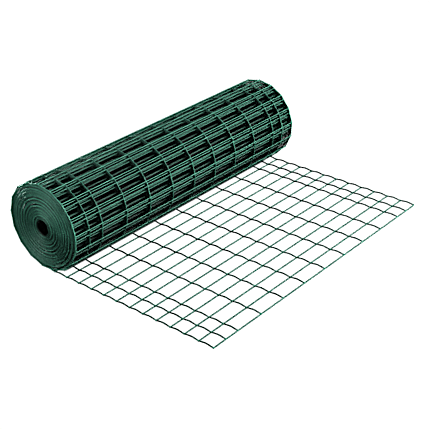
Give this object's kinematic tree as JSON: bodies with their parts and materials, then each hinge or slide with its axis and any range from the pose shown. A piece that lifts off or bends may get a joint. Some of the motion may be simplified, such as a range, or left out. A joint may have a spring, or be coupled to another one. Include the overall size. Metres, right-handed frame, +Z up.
{
  "type": "roll of wire fencing",
  "caption": "Roll of green plastic-coated welded wire fencing lying on its side, its outer end unrolled flat on the floor, with an open core through the roll.",
  "frame": {"origin": "on the floor, below the middle of the bounding box", "axes": "+Z up; +X along the roll's axis, across the fence's height; +Y from the free end of the unrolled lead towards the roll"},
  "size_m": [1.0035, 0.7682, 0.2829],
  "materials": {
    "green_coating": "satin dark green plastic coating over steel wire"
  },
  "bodies": {
    "root": {"wound_roll": "green_coating", "flat_lead": "green_coating"}
  },
  "joints": []
}
